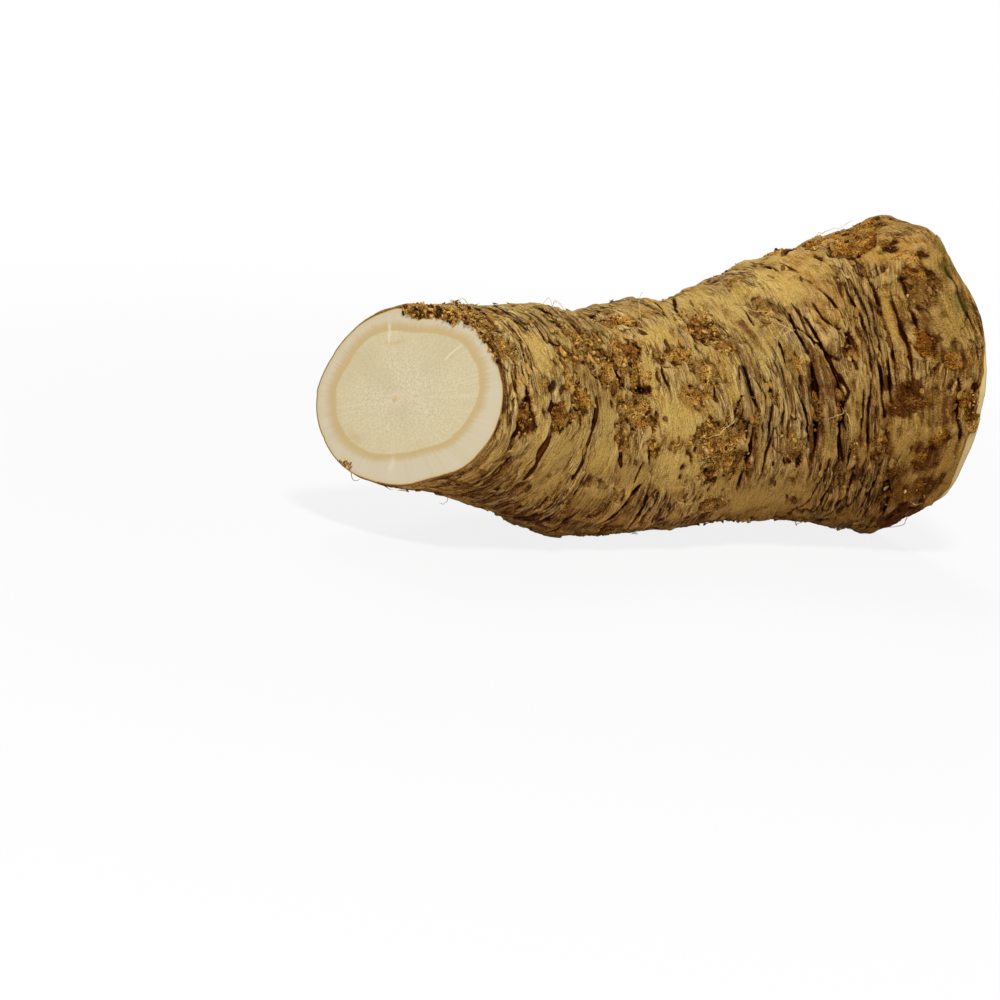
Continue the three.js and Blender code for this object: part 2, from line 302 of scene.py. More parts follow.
# Smooth bands where the thin skin is whole: middle, half length, half spread and, where it isn't 1, strength. The two
# on the top at 39.5 and 65.5 mm are partly painted highlights.
SMOOTH = [
    (17.5, 98, 4.6, 12), (20, 116, 6, 12), (34.8, 86, 4, 19), (36, 116, 5, 10), (9.4, 92, 1.4, 22),
    (57.5, 29, 5.4, 8), (55.5, 74, 5, 12), (55, 100, 6.5, 11), (66, 112, 5, 6), (80, 130, 11, 17),
    (81.5, 36, 3.6, 24), (95, 20, 5.4, 14), (94.5, 100, 2, 8), (46, 104, 5, 8), (76.5, 100, 1.8, 8),
    (117, 112, 4, 10), (75, 2, 5, 12), (105, 18, 2.6, 10), (114.5, 22, 3, 6), (26, 88, 3.4, 6), (11, 52, 1.8, 14),
    (50.6, 50, 1.4, 16), (62, 22, 3, 5), (101.6, 92, 1.6, 7), (115, 96, 5, 18), (118.5, 54, 3, 16), (121, 112, 3, 16),
    (112.6, 50, 1.6, 12), (39.5, 0, 2, 12), (65.5, 4, 2, 10), (17, -4, 6, 10, 0.6), (57, -12, 5, 9, 0.6),
    (118, 2, 4, 9, 0.5), (24, 0, 3, 12, 0.5), (5, 107, 4, 10, 0.5),
]
# Golden patches of skin, of which the two on the top at 39 and 65 mm are painted highlights: middle, half length,
# half spread, strength.
GOLDEN = [
    (112, 34, 7, 22, 0.6), (108, 2, 8, 12, 0.6), (102.6, 32, 3.4, 14, 0.9), (98.6, 58, 2.8, 7, 0.8),
    (57, 31, 5, 7, 0.5), (32, 44, 8, 12, 0.6), (115, 22, 4, 10, 0.6), (5, 72, 4, 30, 0.3), (82, -8, 5, 14, 0.5),
    (60, 66, 6, 8, 0.4), (96, 16, 8, 12, 0.3), (84, 36, 4, 20, 0.25), (45, 66, 8, 10, 0.5), (118, 76, 4, 12, 0.4),
    (39, 0, 3, 12, 0.5), (65, 4, 3, 12, 0.6),
]
# Dark stains, and painted shade over deep crevices and along the underside: middle, half length, half spread,
# strength.
STAINS_AND_SHADE = [
    (118, 60, 6, 34, 0.35), (117, 110, 5, 20, 0.45), (113, 100, 3, 16, 0.5), (78, 142, 30, 9, 0.4),
    (12, 140, 14, 8, 0.5), (112, 105, 9, 28, 0.3), (92, 82, 5, 22, 0.55), (98, 95, 5, 20, 0.6), (90, 112, 5, 12, 0.4),
    (0.6, 62, 1, 26, 0.8), (109.6, 78, 1.4, 3, 0.9), (113.6, 80, 1.2, 3, 0.9), (112.6, 90, 1.6, 3, 0.9),
    (110, 98, 1.2, 3, 0.8), (116, 103, 1.6, 3, 0.8), (22, 146, 16, 8, 0.6), (42, 141, 10, 6, 0.5),
    (97, 70, 3, 26, 0.5), (75, 96, 2.5, 22, 0.4), (108.5, 70, 3, 30, 0.3), (5.3, 88, 2, 9, 1),
    (14.6, 122, 2.2, 8, 0.7), (22.4, 67, 2.2, 6, 1), (21.5, 49, 2.4, 3, 0.8), (36, 109, 5, 3.4, 0.6),
    (46.5, 37, 2.6, 6, 0.9), (41, 54, 1.2, 4, 0.9), (42.5, 45, 3, 5, 0.5), (47, 58.5, 3.4, 1.8, 1),
    (37, 42, 3, 5, 0.6), (33, 27, 2.4, 6, 0.5), (70, 29, 3.6, 9, 0.9), (49, 13, 4, 3, 0.6), (91.8, 80, 1.8, 14, 0.8),
    (98.2, 77, 1.7, 10, 0.9), (20, 110, 1, 2.6, 0.8), (61.5, 104, 2, 3, 0.6), (111.6, 124, 2.4, 9, 0.5),
    (29, 147, 6, 7, 1), (47, 133, 3, 9, 0.3), (115.6, 58, 1.8, 8, 0.6), (122.5, 89, 1.6, 5, 0.8),
    (112.8, 85, 2, 6, 0.7), (7, 116, 1, 6, 0.7), (103.7, 61, 0.8, 5, 0.9), (119, 130, 4, 8, 0.6),
    (103, -5, 2, 4, 0.8), (109, 104, 2.2, 5, 0.6), (106, 118, 2.4, 4, 0.5), (117, 40, 3, 14, 0.25),
    (115, 64, 3, 8, 0.35), (87.6, 31, 3, 6, 0.4), (98, 84, 2, 10, 0.6), (111, 89, 2, 5, 0.8), (115, 86, 1.8, 4, 0.7),
    (116.5, 108, 2, 5, 0.7), (112, 113, 2.2, 5, 0.7), (118.5, 120, 2.4, 5, 0.7), (120, 140, 6, 14, 0.9),
    (114, 134, 4, 10, 0.4), (119.6, 70, 2, 5, 0.5), (104, 132, 6, 7, 0.5), (74.6, 72, 1, 14, 0.5),
    (88, 3, 1.6, 3, 0.6), (15, 80, 2.4, 5, 0.6), (12.4, 78, 1.2, 4, 0.7), (71.5, 43.5, 1.8, 1.6, 0.8),
    (24.5, 127, 1.4, 3, 0.6), (87.6, 132, 1.6, 3, 0.6), (92.8, 139, 2, 3, 0.6), (18, 136, 5, 4, 0.6),
    (9, 136, 8, 10, 0.6), (26, 140, 8, 9, 0.6), (33, 22, 9, 15, 0.4), (77, 62, 6, 30, 0.35),
    (93.4, 72, 4.5, 12, 0.75), (92.5, 90, 4, 11, 0.6), (34, 121, 14, 9, 0.5), (77.7, 43, 5, 12, 0.55),
    (70.4, 80, 2.5, 8, 0.5), (117, 90, 3.5, 9, 0.65), (120, 101, 3, 11, 0.5),
]

distance = run[:, None] + 0.0 * angles  # mm from the small end, for every point of the bark
around = np.degrees(angles) + 0.0 * distance
straight = np.stack([distance, radii * np.cos(angles), radii * np.sin(angles)], -1)  # the root as if it were straight
wander = 2.4 * noise(straight / 20, 11) + 0.25 * noise(straight / 8, 12)
ringed = straight + wander[..., None] * [1, 0, 0]  # ripples the rings' paths around the root


def turned(angle):
    """How many degrees each point is around from an angle, from -180 to 180."""
    return (around - angle + 180) % 360 - 180


def spread_over(places, edge):
    """Each place's strength (1 where none is given) at its middle, and zero past its edge: an ellipse on the bark
    whose radius a noise field makes ragged by that share."""
    ragged = edge * (noise(straight / [3.4, 5, 5], 41) + 0.7 * noise(straight / [1.2, 2.2, 2.2], 42))
    field = np.zeros_like(distance)
    for mm, angle, half_length, half_spread, *strength in places:
        reach = np.hypot((distance - mm) / half_length, turned(angle) / half_spread) + ragged
        field = np.maximum(field, math.prod(strength) * smoothstep(1.25, 0.8, reach))
    return field


def furrow(half_width, depth, *places):
    """How deep a furrow is at each point, and how far inside its torn bed the point lies (below zero outside). The
    furrow follows the straight runs between its places. Its width and path wander, and it thins out to both ends."""
    nearest = np.full_like(distance, np.inf)
    passed = np.zeros_like(distance)
    steps = [math.hypot(b[0] - a[0], (b[1] - a[1]) * MM_A_DEGREE) for a, b in zip(places, places[1:])]
    done = 0.0
    for start, end, step in zip(places, places[1:], steps):
        x, y = distance + 0.13 * jitter - start[0], turned(start[1]) * MM_A_DEGREE
        run_x, run_y = (end[0] - start[0]) / step, (end[1] - start[1]) * MM_A_DEGREE / step
        along = np.clip(x * run_x + y * run_y, 0, step)
        off = np.hypot(x - along * run_x, y - along * run_y)
        passed = np.where(off < nearest, (done + along) / sum(steps), passed)
        nearest = np.minimum(nearest, off)
        done += step
    fade = np.clip(4 * passed * (1 - passed), 0, 1) ** 0.4
    wide = half_width * (0.1 + 0.5 * fade) * (1 + 0.7 * rough) * (0.5 + broken)
    sunk = depth * 0.85 * fade * broken * smoothstep(wide + 0.34, 0.4 * wide, nearest)
    return sunk, np.maximum(wide - nearest, -1.0)


chance = np.random.default_rng(29)  # every random draw comes from this one seed
MM_A_DEGREE = math.radians(usual_radius)


FAR_SIDE = (155, 345)  # degrees around, over the belly and up the back


def unseen(count, *ranges):
    """Places on the far side, with each further value drawn from its range."""
    mm = chance.uniform(3, length - 4, count)
    angle = chance.uniform(*FAR_SIDE, count)
    return list(zip(mm, angle, *[chance.uniform(low, high, count) for low, high in ranges]))


far_furrows = [
    (width, depth, (mm - lean, a - half), (mm + bow, a), (mm + lean, a + half))
    for mm, a, half, lean, bow, width, depth
    in unseen(80, (6, 26), (-1.6, 1.6), (-1.0, 1.0), (0.25, 0.65), (0.5, 1.6))
]
far_corky = unseen(26, (2, 6), (6, 16), (0.5, 1.0))
far_smooth = unseen(22, (3, 8), (8, 20))
far_golden = unseen(8, (3, 6), (8, 16), (0.3, 0.8))
far_stains = unseen(24, (1.2, 4), (4, 12), (0.3, 1.0))
far_folded = unseen(14, (4, 9), (14, 40), (0.4, 1.0))
far_knobs = unseen(26, (1.5, 4), (4, 14), (-1.3, 1.3))

rough = noise(straight / [2, 6, 6], 18) + 0.3 * noise(straight / 1.6, 21)
jitter = 1.4 * noise(straight / [4, 6, 6], 19) + 0.6 * noise(straight / 1.4, 20)
broken = 0.3 + 0.5 * smoothstep(-0.35, 0.35, noise(straight / [2, 9, 9], 25))
cork = spread_over(CORKY + far_corky, 0.8)
smooth = spread_over(SMOOTH + far_smooth, 0.25) * (1 - cork)
golden = spread_over(GOLDEN + far_golden, 0.4)
# Stains, with painted shade where the list lays it over deep crevices and the underside.
stain = spread_over(STAINS_AND_SHADE + far_stains, 0.7)
folded = 0.1 + 0.9 * spread_over(FOLDED + far_folded, 0.3)
folded *= (0.6 + 0.4 * smoothstep(-0.3, 0.3, noise(straight / 9, 13))) * (1 - 0.9 * smooth)

fine_folds = np.abs(noise(ringed / [1.0, 36, 36], 22))  # zero along lines that run around the root
slits = np.exp(-((noise(ringed / [2.2, 36, 36], 23) / 0.045) ** 2)) * smoothstep(-0.05, 0.3, noise(straight / 8, 24))


def tiers(spacing, seed):
    """Edges of skin that lie over one another around the root: each climbs towards the crown and drops off sharply,
    by 1 where it is strongest."""
    climb = ((ringed[..., 0] + 3.0 * noise(ringed / [9, 50, 50], seed)) / spacing) % 1
    here = smoothstep(-0.5, 0.1, noise(ringed / [5, 50, 50], seed + 1))
    return here * (climb**1.6 * smoothstep(1, 1 - 0.62 / spacing, climb) - 0.3)


folds = folded * (0.9 * tiers(3.9, 31) + 0.6 * tiers(1.9, 33) + 0.6 * (fine_folds - 0.2))
lumps = 0.6 * noise(straight / 11, 14) + 0.34 * noise(straight / 4.5, 15) * (1 - 0.6 * smooth)
for mm, angle, half_length, half_spread, proud in KNOBS + far_knobs:
    away = np.hypot((distance + 0.3 * jitter - mm) / half_length, turned(angle) / half_spread)
    lumps += proud * np.exp(-(away**2))
peel = noise(ringed / [4.5, 10, 10], 16) + 0.3 * noise(ringed / [1.6, 4, 4], 17)
LOWER_LAYER, UPPER_LAYER = (-0.3, -0.265), (0.15, 0.185)  # the runs of the peel field over which a layer of skin ends
peeled = 0.42 * smoothstep(*UPPER_LAYER, peel) + 0.36 * smoothstep(*LOWER_LAYER, peel)  # each layer's thickness
crumbly = 0.4 * noise(straight / 1.5, 51) + 0.25 * noise(straight / 0.8, 52)
depths, beds = np.max([furrow(*f) for f in FURROWS + far_furrows], 0)
furrows = -depths
slit = folded * slits

height = lumps + peeled * (1 - cork) * (1 - 0.6 * smooth) + folds * (1 - 0.6 * cork)
height = height + furrows - 0.5 * slit + cork * (crumbly - 0.3)
from_cuts = np.minimum(distance, length - distance)
height = height * (0.35 + 0.65 * smoothstep(0, 2.5, from_cuts))  # calmer where the knife left a clean edge
hollow = blurred(height, 1.1) - height
bark = centres[:, None] + rays * (radii + height)[..., None]
overhang = 0.4 * smoothstep(0, 4, from_cuts) * (folds + furrows)  # folds lean towards the small end
bark -= facing[:, None] * overhang[..., None]
bark[..., 2] = np.maximum(bark[..., 2], 0.0)


# ---------------------------------------------------------------------------------------------- meshes


def make_mesh(name, points, faces, numbers=None, vectors=None, lowest=0.0):
    """A piece from points in millimetres, none of them under the lowest height. numbers and vectors are named values
    at its points."""
    mesh = bpy.data.meshes.new(name)
    mesh.from_pydata((np.maximum(points, [-np.inf, -np.inf, lowest]) * MM).tolist(), [], faces)
    for key, values in (numbers or {}).items():
        mesh.attributes.new(key, "FLOAT", "POINT").data.foreach_set("value", values.astype(np.float32).ravel())
    for key, values in (vectors or {}).items():
        layer = mesh.attributes.new(key, "FLOAT_VECTOR", "POINT")
        layer.data.foreach_set("vector", values.astype(np.float32).ravel())
    mesh.shade_smooth()
    piece = bpy.data.objects.new(name, mesh)
    bpy.context.scene.collection.objects.link(piece)
    return piece


def grid_normals(grid):
    """Outward normals of a grid on the bark from its differences both ways."""
    return unit(np.cross(np.roll(grid, -1, 1) - np.roll(grid, 1, 1), np.gradient(grid, axis=0)))


def ring_faces(rings, columns, copies=1, turned_over=False):
    """Faces between each ring of points and the next, and fans from the first and last rings to two points that
    come after the rings. Each copy's points follow those of the one before."""
    index = np.arange(rings * columns).reshape(rings, columns)
    onward = np.roll(index, -1, 1)
    quads = np.stack([index[:-1], onward[:-1], onward[1:], index[1:]], -1).reshape(-1, 4)
    first, last = np.full(columns, rings * columns), np.full(columns, rings * columns + 1)
    fans = np.concatenate([np.stack([first, onward[0], index[0]], -1), np.stack([last, index[-1], onward[-1]], -1)])
    if turned_over:
        quads, fans = quads[:, [0, 3, 2, 1]], fans[:, [0, 2, 1]]
    starts = np.arange(copies)[:, None, None] * (rings * columns + 2)
    return (starts + quads).reshape(-1, 4).tolist() + (starts + fans).reshape(-1, 3).tolist()


outward = grid_normals(smooth_skin)
bed = centres[:, None] + rays * (radii + blurred(height, 0.7))[..., None]  # the bark with its finest relief taken off


def on_bark(grid, mm, angle):
    """A bark grid's values at places (mm from the small end, degrees around), blended from the four points around."""
    row = np.interp(mm, run, np.arange(len(run)))
    column = np.interp(np.radians(angle) % (2 * np.pi), [*angles, 2 * np.pi], np.arange(COLUMNS + 1))
    i, j = np.minimum(row.astype(int), len(run) - 2), column.astype(int) % COLUMNS
    extra = (1,) * (grid.ndim - 2)
    s, t = (row - i).reshape(row.shape + extra), (column - column.astype(int)).reshape(row.shape + extra)
    k = (j + 1) % COLUMNS
    return (grid[i, j] * (1 - t) + grid[i, k] * t) * (1 - s) + (grid[i + 1, j] * (1 - t) + grid[i + 1, k] * t) * s


# A strip at the crown's edge that the knife left without bark, and the green tint of the neck above it.
bare_crown = 2.4 * np.exp(-((turned(96) / 34) ** 2)) + 0.35 * noise(straight / 3.5, 61) - 0.5 + distance - length
green = np.exp(-(((distance - 121.8) / 1.6) ** 2)) * smoothstep(24, 8, np.abs(turned(38)))
green = green * smoothstep(-0.5, 0.4, noise(straight / 3, 62))

# How far the tan ring of the small end's face lies from its middle, as a share of the radius, at every 45 degrees.
TAN_RING = [0.68, 0.86, 0.69, 0.64, 0.635, 0.79, 0.785, 0.83, 0.68]


def root_skin():
    """The closed skin: a middle point and rings over the small end's face, the bark's rings, then rings over the
    crown's face and its middle point."""
    share = FACE_SHARES[:, None] + 0.0 * angles
    first = small_middle + (bark[0] - small_middle) * share[..., None]
    last = crown_middle + (bark[-1] - crown_middle) * share[..., None]
    rings = np.concatenate([first, bark, last[::-1]])
    points = np.concatenate([rings.reshape(-1, 3), [small_middle, crown_middle]])

    def whole(field, on_faces=0.0, at_middles=0.0):
        """A bark field carried on over both faces, with its values there and at their middle points."""
        cover = np.broadcast_to(on_faces, (2, *share.shape) + field.shape[2:])
        rows = np.concatenate([cover[0], field, cover[1][::-1]])
        tail = np.broadcast_to(at_middles, (2,) + field.shape[2:])
        return np.concatenate([rows.reshape((-1,) + field.shape[2:]), tail])

    # Where the crown's bark was trimmed away, and how far the bark hangs over the top of the small end's face.
    trimmed = smoothstep(0.84, 0.93, outward @ crown_facing) * smoothstep(length - 14, length - 8, distance)
    past_bark = np.where(trimmed > 0.01, (trimmed - 0.5) * 2.4, -from_cuts)
    past_bark = np.maximum(past_bark, bare_crown)
    overlap = 2.0 * np.exp(-((turned(4)[0] / 19) ** 4)) * (1 + 0.45 * jitter[3])
    inward = (1 - share) * [[radii[0]], [radii[-1]]] - [[overlap], [0 * overlap]]
    middles_inward = [radii[0].mean(), radii[-1].mean()]
    turns = [(np.degrees(angles) + nudge) % 360 for nudge in (-20, -10, 0, 10, 20)]
    tan_edge = np.mean([np.interp(turn, np.arange(0, 405, 45), TAN_RING) for turn in turns], 0)
    numbers = {
        "past_bark": whole(past_bark, inward, middles_inward),
        "cork": whole(cork, 1.0),
        "stain": whole(stain),
        "smooth": whole(smooth),
        "hollow": whole(hollow),
        "bed": whole(np.maximum(beds, slit - 0.85), -1.0, -1.0),
        "green": whole(green),
        "golden": whole(np.maximum(golden, smoothstep(-0.3, 0.3, bare_crown))),
        "folded": whole(folded),
        "peel": whole(peel),
        # How far each point is round towards the underside, where painted shade, with soil, warms and darkens the
        # bark.
        "belly": whole(smoothstep(60, 150, np.abs(turned(0)))),
        "tan_ring": whole(np.full_like(radii, 1.3), share / tan_edge),
    }
    disc = np.stack([0 * share, share * np.cos(angles), share * np.sin(angles)], -1)
    discs = np.stack([disc, disc + [1, 0, 0]])
    vectors = {
        "disc": whole(np.zeros_like(bark), discs, [[0, 0, 0], [1, 0, 0]]),
        "grain": whole(ringed, np.stack([first, last]), [small_middle, crown_middle]),
    }
    piece = make_mesh("root_skin", points, ring_faces(len(rings), COLUMNS), numbers, vectors)
    rim = np.arange(len(points)) // COLUMNS == len(FACE_SHARES)
    ends = np.empty(len(piece.data.edges) * 2, np.int32)
    piece.data.edges.foreach_get("vertices", ends)
    sharp = rim[ends.reshape(-1, 2)].all(1)
    piece.data.attributes.new("sharp_edge", "BOOLEAN", "EDGE").data.foreach_set("value", sharp)
    return piece


CLEAR_OF_CUTS = 0.3  # mm that scabs and rootlets keep away from them
SCAB_STEP = 0.26  # mm between a scab's points where it shows most
WIDER_STEP = 0.42  # and elsewhere
SUNK = 1.2  # how far under the bark a scab's edge lies
CLOSED = 4.0  # and the point that closes it
MARGIN = 1.2  # how far its grid reaches, in half lengths and half spreads of its patch


def scab(mm, angle, half_length, half_spread, strength, step):
    """A crumbly scab of cork: a grid over its patch that stands proud in the middle, where grains and noise roughen
    it, and sinks under the bark past its ragged edge. A fan to one point inside the root closes it."""
    rows, columns = (max(int(2 * MARGIN * half / step), 8) for half in (half_length, half_spread * MM_A_DEGREE))
    u, v = np.meshgrid(*(np.linspace(-MARGIN, MARGIN, steps) for steps in (rows, columns)), indexing="ij")
    mms = np.clip(mm + u * half_length, CLEAR_OF_CUTS, length - CLEAR_OF_CUTS)
    degrees = angle + v * half_spread
    at = on_bark(ringed, mms, degrees)
    ragged = 0.75 * (noise(at / 4.2, 41) + 0.8 * noise(at / 1.7, 42))
    body = smoothstep(1.1, 0.7, np.hypot(u, v) + ragged + 0.7 * (1 - strength))
    knobs = 0.34 * noise(at / 0.55, 53) - 0.4 * np.abs(noise(at / 1.4, 54)) + 0.25 * noise(at / 2.6, 55) + 0.06
    rise = body * (SUNK + 0.2 + knobs) - SUNK
    way, across = on_bark(facing[:, None] + 0 * bark, mms, degrees), on_bark(outward, mms, degrees)
    onward, sideways = (0.28 * body * noise(at / 0.9, seed) for seed in (56, 57))
    points = on_bark(bed, mms, degrees) + across * rise[..., None] + way * onward[..., None]
    points = points + np.cross(across, way) * sideways[..., None]
    index = np.arange(rows * columns).reshape(rows, columns)
    quads = np.stack([index[:-1, :-1], index[:-1, 1:], index[1:, 1:], index[1:, :-1]], -1).reshape(-1, 4)
    rim = np.concatenate([index[0, :-1], index[:-1, -1], index[-1, :0:-1], index[:0:-1, 0]])
    deep = points.mean((0, 1)) - across.mean((0, 1)) * CLOSED
    fan = np.stack([np.roll(rim, -1), rim, np.full(len(rim), rows * columns)], -1)
    points = np.concatenate([points.reshape(-1, 3), [deep]])
    # Darker with the bark's stains and painted shade, and painted shade where the scab lies down in a furrow.
    dark = on_bark(np.maximum(stain, smoothstep(0.15, 0.9, depths)), mms, degrees)
    numbers = [np.append(field, 0.0) for field in (knobs, body, dark)]
    return points, quads, fan, *numbers, np.append(at, [[0, 0, 0]]).reshape(-1, 3)


def cork_scabs():
    """All the scabs as one piece."""
    scabs = [scab(*patch, SCAB_STEP) for patch in CORKY] + [scab(*patch, WIDER_STEP) for patch in far_corky]
    starts = np.cumsum([0] + [len(s[0]) for s in scabs[:-1]])
    faces = [f for s, start in zip(scabs, starts) for part in (s[1], s[2]) for f in (part + start).tolist()]
    points, knobs, body, dark, at = (np.concatenate([s[k] for s in scabs]) for k in (0, 3, 4, 5, 6))
    return make_mesh("cork_scabs", points, faces, {"knobs": knobs, "body": body, "dark": dark}, {"grain": at})


on_scab = 0.3 * smoothstep(0.3, 0.8, cork)  # how far a scab stands proud


def pebbles(name, middles, axes, bend, lumpy, rings, columns):
    """Small closed lumps as one piece: each is a sphere of rings and columns with two poles, its radius roughened
    by random numbers, stretched along its own three axes (lump, axis, 3) and bent up at its ends."""
    polar = np.arange(1, rings + 1)[:, None] * np.pi / (rings + 1)
    turn = np.arange(columns) * 2 * np.pi / columns
    ball = np.stack([np.sin(polar) * np.cos(turn), np.sin(polar) * np.sin(turn), np.cos(polar) + 0 * turn], -1)
    ball = np.concatenate([ball.reshape(-1, 3), [[0, 0, 1], [0, 0, -1]]])
    size = len(ball)
    local = ball * (1 + lumpy * chance.uniform(-1, 1, (len(middles), size, 1)))
    local = np.stack([local[..., 0], local[..., 1], local[..., 2] + bend * local[..., 0] ** 2], -1)
    points = middles[:, None] + np.einsum("lpk,lkx->lpx", local, axes)
    shade = np.repeat(chance.uniform(0, 1, len(middles)), size)
    faces = ring_faces(rings, columns, len(middles), True)
    return make_mesh(name, points.reshape(-1, 3), faces, {"shade": shade})


def scattered(count, weight):
    """Random places on the bark, as likely as their weight: their indices in its grid."""
    likely = (weight * from_cuts.clip(0, 1)).ravel()
    return np.unravel_index(chance.choice(weight.size, count, p=likely / likely.sum()), weight.shape)


def tangents(i, j, turn):
    """For each place, two unit vectors along the bark, turned by an angle from its length, and the one off it."""
    off, along = outward[i, j], unit(np.cross(np.cross(outward[i, j], facing[i]), outward[i, j]))
    side = np.cross(off, along)
    c, s = np.cos(turn)[:, None], np.sin(turn)[:, None]
    return along * c + side * s, side * c - along * s, off


def cork_crumbs(count=1500, on_top=296, on_side=50, in_clump=34):
    """Loose-looking crumbs of cork, most of them on the scabs and some along the small end's rim: over its top, down
    its near side and in a clump under it."""
    on_rim = on_top + on_side + in_clump
    i, j = scattered(count, cork**2 + 0.03 * folded)
    rim_angles = np.append(chance.uniform(-18, 24, on_top), chance.normal(36, 12, on_side))
    rim_angles = np.append(rim_angles, chance.normal(211, 2, in_clump)) % 360
    j = np.append(j, np.searchsorted(np.degrees(angles), rim_angles) % COLUMNS)
    i = np.append(i, np.zeros(on_rim, int))
    count += on_rim
    size = chance.lognormal(math.log(0.17), 0.4, count).clip(0.08, 0.45)  # mm from the middle of a crumb
    size[-on_rim:-in_clump] *= 1.3
    axes = np.stack(tangents(i, j, chance.uniform(0, 2 * np.pi, count)), 1)
    axes = axes * size[:, None, None] * chance.uniform(0.45, 1.8, (count, 3, 1))
    lift = on_scab[i, j] * chance.uniform(0.4, 1.0, count) + 0.3 * size
    middles = bark[i, j] + outward[i, j] * lift[:, None]
    inwards = np.append(chance.uniform(-0.6, 2.1, on_top), chance.uniform(-0.5, 0.5, on_side))
    inwards = np.append(inwards, chance.uniform(0.4, 1.8, in_clump))[:, None]
    middles[-on_rim:] += unit(small_middle - middles[-on_rim:]) * inwards + small_facing * 0.08
    return pebbles("cork_crumbs", middles, axes, 0.0, 0.35, 3, 6)


def bark_flakes(count=420, half_thick=0.08):
    """Thin chips of bark that curl up a little off the skin, drawn out around the root."""
    i, j = scattered(count, 0.15 + folded + 0.8 * cork)
    long, wide = chance.uniform(0.5, 1.6, count), chance.uniform(0.25, 0.65, count)
    axes = np.stack(tangents(i, j, np.pi / 2 + chance.normal(0, 0.3, count)), 1)
    axes = axes + axes[:, 2:] * chance.normal(0, 0.14, (count, 3, 1)) * [[[1], [1], [0]]]
    axes = axes * np.stack([long, wide, np.full(count, half_thick)], -1)[..., None]
    lift = on_scab[i, j] * 0.5 + chance.uniform(0.0, 0.3, count)
    return pebbles("bark_flakes", bark[i, j] + outward[i, j] * lift[:, None], axes, 2.4, 0.32, 5, 10)


# Rootlets that stand clear: where they leave the bark, their length, the way they set off (degrees from the root's
# length, towards the top) and how far they lift off.
ROOTLETS = [
    (88, 30, 16, 200, 0.25), (89, 32, 13, 230, 0.2), (90, 36, 15, 180, 0.2), (91, 40, 12, 250, 0.25),
    (92, 42, 14, 215, 0.15), (90, 44, 11, 160, 0.2), (88, 38, 12, 265, 0.2), (93, 46, 10, 190, 0.2),
    (57, 14, 6, 80, 0.7), (99, 84, 7, 250, 0.4), (99, 86, 6, 300, 0.3), (70, 78, 9, 200, 0.3), (30, 10, 6, 60, 0.6),
    (33, 4, 5, 120, 0.7), (107, 30, 9, 170, 0.15),
]


def rootlet_paths(count=70, steps=13, lowest=0.15):
    """The rootlets' middles, shaped (rootlet, step, 3), in millimetres: each sets off along the bark, lifts off it
    and comes back down, and a slow random turn bends it. None comes nearer to the floor than the lowest height."""
    mm, angle, long, way, lift = np.array(ROOTLETS, float).T
    i, j = scattered(count, 0.3 + folded + cork)
    mm, angle = np.append(mm, run[i]), np.append(angle, np.degrees(angles[j]))
    long = np.append(long, chance.uniform(2.5, 7, count))
    way = np.append(way, chance.uniform(0, 360, count))
    lift = np.append(lift, chance.uniform(0.08, 0.4, count))
    total = len(mm)
    bends = np.cumsum(chance.normal(0, 0.22, (total, steps)), 1) + np.radians(way)[:, None]
    stride = (long / (steps - 1))[:, None]
    mms = mm[:, None] + np.cumsum(np.cos(bends) * stride, 1)
    degrees = angle[:, None] - np.degrees(np.cumsum(np.sin(bends) * stride, 1) / usual_radius)
    mms = np.clip(mms, CLEAR_OF_CUTS, length - CLEAR_OF_CUTS)
    share = np.linspace(0, 1, steps)
    rise = (lift * long)[:, None] * np.sin(np.pi * share * chance.uniform(0.6, 1.0, total)[:, None]) - 0.1
    paths = on_bark(bark, mms, degrees) + on_bark(outward, mms, degrees) * rise[..., None]
    paths[..., 2] = np.maximum(paths[..., 2], lowest)
    return paths


def fine_rootlets(sides_round=5, askew=(0.31, 0.17, 0.94)):
    """Tapering tubes along the rootlets' paths, each closed to a point at both ends. Their sections are laid out
    from a direction that no path follows."""
    paths = rootlet_paths()
    total, steps = paths.shape[:2]
    way = unit(np.gradient(paths, axis=1))
    flat = unit(np.cross(way, askew))
    up = np.cross(flat, way)
    taper = np.interp(np.linspace(0, 1, steps), [0, 0.04, 0.9, 1], [0.3, 1.0, 0.55, 0.12])
    thick = chance.uniform(0.045, 0.1, total)[:, None] * taper
    turn = np.arange(sides_round) * 2 * np.pi / sides_round
    ring = flat[:, :, None] * np.cos(turn)[:, None] + up[:, :, None] * np.sin(turn)[:, None]
    tubes = paths[:, :, None] + ring * thick[..., None, None]
    tips = paths[:, [0, -1]]
    points = np.concatenate([tubes.reshape(total, -1, 3), tips], 1).reshape(-1, 3)
    shade = np.repeat(chance.uniform(0, 1, total), steps * sides_round + 2)
    return make_mesh("fine_rootlets", points, ring_faces(steps, sides_round, total), {"shade": shade})


# ---------------------------------------------------------------------------------------------- materials


def tint(red, green, blue):
    """A screen colour, each part 0 to 255, as the linear colour that shaders use."""
    parts = [c / 255 for c in (red, green, blue)]
    return (*[c / 12.92 if c <= 0.04045 else ((c + 0.055) / 1.055) ** 2.4 for c in parts], 1.0)


SEEN_BY = ("Camera", "Glossy", "Transmission")
WHITE = (1.0, 1.0, 1.0, 1.0)


